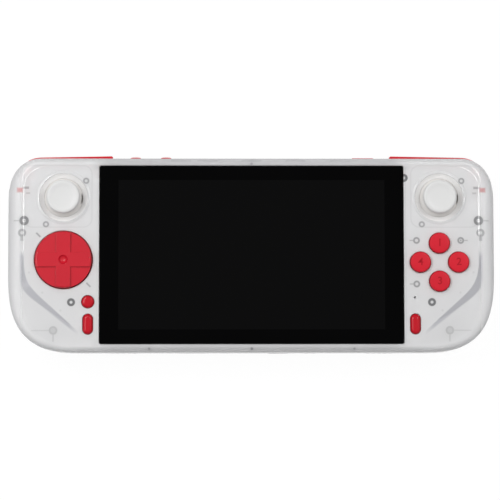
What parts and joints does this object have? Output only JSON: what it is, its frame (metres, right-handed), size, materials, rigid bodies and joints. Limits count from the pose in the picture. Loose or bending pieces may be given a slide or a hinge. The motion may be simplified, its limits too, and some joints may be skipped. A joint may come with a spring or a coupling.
{
  "type": "handheld game console",
  "caption": "Wide handheld game console in a milky clear case: black screen, thumb sticks, round cross pad, face buttons, shoulder bars, triggers and rounded rear grips.",
  "frame": {"origin": "middle of the bounding box at the bottom, on the plane of the grips' flat pads", "axes": "+X to the player's right, +Y towards the shoulder bars, +Z out of the screen; the console lies on its back"},
  "size_m": [0.223, 0.0908, 0.0308],
  "materials": {
    "clear_plastic": "milky translucent, glossy",
    "red_plastic": "smooth, slightly glossy",
    "white_plastic": "smooth satin",
    "black_glass": "polished, black backed",
    "dark_panel": "dark, switched off",
    "steel": "plain",
    "circuit_board": "white solder mask",
    "dark_plastic": "matt",
    "membrane_rubber": "soft matt",
    "copper": "satin",
    "ribbon": "thin film",
    "battery_pouch": "foil"
  },
  "bodies": {
    "console": {"front_shell": "clear_plastic", "rear_shell": "clear_plastic", "case_screws": "steel", "cover_glass": "black_glass", "screen_adhesive": "dark_plastic", "display_panel": "dark_panel", "display_flex": "ribbon", "support_frame": "steel", "inner_screws": "steel", "main_board": "circuit_board", "board_chips": "dark_plastic", "heat_spreader": "copper", "cooling_fins": "steel", "fan_housing": "dark_plastic", "battery": "battery_pouch", "left_board": "circuit_board", "right_board": "circuit_board", "left_flex": "ribbon", "right_flex": "ribbon", "left_stick_housing": "steel", "right_stick_housing": "steel", "stick_screws": "steel", "cross_pad_membrane": "membrane_rubber", "face_button_membrane": "membrane_rubber", "left_small_membrane": "membrane_rubber", "right_small_membrane": "membrane_rubber", "shoulder_pins": "steel", "trigger_pins": "steel", "left_trigger_spring": "steel", "right_trigger_spring": "steel", "push_switches": "dark_plastic", "left_speaker": "dark_plastic", "right_speaker": "dark_plastic", "charging_port": "steel", "headphone_jack": "dark_plastic", "card_slot": "steel"},
    "left_stick_yoke": {"left_stick_yoke": "dark_plastic"},
    "left_stick_shaft": {"left_stick_shaft": "steel"},
    "left_stick_cap": {"left_stick_cap": "white_plastic"},
    "right_stick_yoke": {"right_stick_yoke": "dark_plastic"},
    "right_stick_shaft": {"right_stick_shaft": "steel"},
    "right_stick_cap": {"right_stick_cap": "white_plastic"},
    "cross_pad_ball": {"cross_pad_ball": "white_plastic"},
    "cross_pad": {"cross_pad": "red_plastic"},
    "face_button_top": {"face_button_top": "red_plastic"},
    "face_button_right": {"face_button_right": "red_plastic"},
    "face_button_bottom": {"face_button_bottom": "red_plastic"},
    "face_button_left": {"face_button_left": "red_plastic"},
    "round_button": {"round_button": "red_plastic"},
    "left_pill_button": {"left_pill_button": "red_plastic"},
    "right_pill_button": {"right_pill_button": "red_plastic"},
    "left_shoulder_bar": {"left_shoulder_bar": "red_plastic"},
    "right_shoulder_bar": {"right_shoulder_bar": "red_plastic"},
    "left_trigger": {"left_trigger": "red_plastic"},
    "right_trigger": {"right_trigger": "red_plastic"},
    "volume_rocker": {"volume_rocker": "red_plastic"},
    "power_button": {"power_button": "red_plastic"},
    "fan_rotor": {"fan_rotor": "dark_plastic"}
  },
  "joints": [
    {"name": "left_stick_up_down", "type": "hinge", "parent": "console", "child": "left_stick_yoke", "pos_m": [-0.086, 0.0256, 0.016], "axis": [1, 0, 0], "range_deg": [-12, 12], "stiffness_Nm_per_rad": 0.02},
    {"name": "left_stick_sideways", "type": "hinge", "parent": "left_stick_yoke", "child": "left_stick_shaft", "pos_m": [-0.086, 0.0256, 0.016], "axis": [0, 1, 0], "range_deg": [-12, 12], "stiffness_Nm_per_rad": 0.02},
    {"name": "left_stick_click", "type": "slide", "parent": "left_stick_shaft", "child": "left_stick_cap", "axis": [0, 0, -1], "range_m": [0, 0.0004], "stiffness_N_per_m": 800},
    {"name": "right_stick_up_down", "type": "hinge", "parent": "console", "child": "right_stick_yoke", "pos_m": [0.086, 0.0256, 0.016], "axis": [1, 0, 0], "range_deg": [-12, 12], "stiffness_Nm_per_rad": 0.02},
    {"name": "right_stick_sideways", "type": "hinge", "parent": "right_stick_yoke", "child": "right_stick_shaft", "pos_m": [0.086, 0.0256, 0.016], "axis": [0, 1, 0], "range_deg": [-12, 12], "stiffness_Nm_per_rad": 0.02},
    {"name": "right_stick_click", "type": "slide", "parent": "right_stick_shaft", "child": "right_stick_cap", "axis": [0, 0, -1], "range_m": [0, 0.0004], "stiffness_N_per_m": 800},
    {"name": "cross_pad_up_down", "type": "hinge", "parent": "console", "child": "cross_pad_ball", "pos_m": [-0.086, -0.003, 0.021], "axis": [1, 0, 0], "range_deg": [-3.5, 3.5], "stiffness_Nm_per_rad": 0.1},
    {"name": "cross_pad_sideways", "type": "hinge", "parent": "cross_pad_ball", "child": "cross_pad", "pos_m": [-0.086, -0.003, 0.021], "axis": [0, 1, 0], "range_deg": [-3.5, 3.5], "stiffness_Nm_per_rad": 0.1},
    {"name": "face_button_top_press", "type": "slide", "parent": "console", "child": "face_button_top", "axis": [0, 0, -1], "range_m": [0, 0.0012], "stiffness_N_per_m": 300},
    {"name": "face_button_right_press", "type": "slide", "parent": "console", "child": "face_button_right", "axis": [0, 0, -1], "range_m": [0, 0.0012], "stiffness_N_per_m": 300},
    {"name": "face_button_bottom_press", "type": "slide", "parent": "console", "child": "face_button_bottom", "axis": [0, 0, -1], "range_m": [0, 0.0012], "stiffness_N_per_m": 300},
    {"name": "face_button_left_press", "type": "slide", "parent": "console", "child": "face_button_left", "axis": [0, 0, -1], "range_m": [0, 0.0012], "stiffness_N_per_m": 300},
    {"name": "round_button_press", "type": "slide", "parent": "console", "child": "round_button", "axis": [0, 0, -1], "range_m": [0, 0.0006], "stiffness_N_per_m": 400},
    {"name": "left_pill_button_press", "type": "slide", "parent": "console", "child": "left_pill_button", "axis": [0, 0, -1], "range_m": [0, 0.0006], "stiffness_N_per_m": 400},
    {"name": "right_pill_button_press", "type": "slide", "parent": "console", "child": "right_pill_button", "axis": [0, 0, -1], "range_m": [0, 0.0006], "stiffness_N_per_m": 400},
    {"name": "left_shoulder_bar_press", "type": "hinge", "parent": "console", "child": "left_shoulder_bar", "pos_m": [-0.0616, 0.04025, 0.0181], "axis": [0, 0, 1], "range_deg": [0, 2.2], "stiffness_Nm_per_rad": 0.6},
    {"name": "right_shoulder_bar_press", "type": "hinge", "parent": "console", "child": "right_shoulder_bar", "pos_m": [0.0616, 0.04025, 0.0181], "axis": [0, 0, -1], "range_deg": [0, 2.2], "stiffness_Nm_per_rad": 0.6},
    {"name": "left_trigger_pull", "type": "hinge", "parent": "console", "child": "left_trigger", "pos_m": [-0.1033, 0.0294, 0.0127], "axis": [1, 0, 0], "range_deg": [0, 12], "stiffness_Nm_per_rad": 0.1, "springref_deg": -5.73},
    {"name": "right_trigger_pull", "type": "hinge", "parent": "console", "child": "right_trigger", "pos_m": [0.1033, 0.0294, 0.0127], "axis": [1, 0, 0], "range_deg": [0, 12], "stiffness_Nm_per_rad": 0.1, "springref_deg": -5.73},
    {"name": "volume_rocker_rock", "type": "hinge", "parent": "console", "child": "volume_rocker", "pos_m": [-0.0462, 0.04145, 0.01875], "axis": [0, 0, 1], "range_deg": [-1.5, 1.5], "stiffness_Nm_per_rad": 0.3},
    {"name": "power_button_press", "type": "slide", "parent": "console", "child": "power_button", "axis": [0, -1, 0], "range_m": [0, 0.0004], "stiffness_N_per_m": 600},
    {"name": "fan_spin", "type": "hinge", "parent": "console", "child": "fan_rotor", "pos_m": [0.037, 0.0094, 0.0126], "axis": [0, 0, 1], "continuous": true}
  ]
}
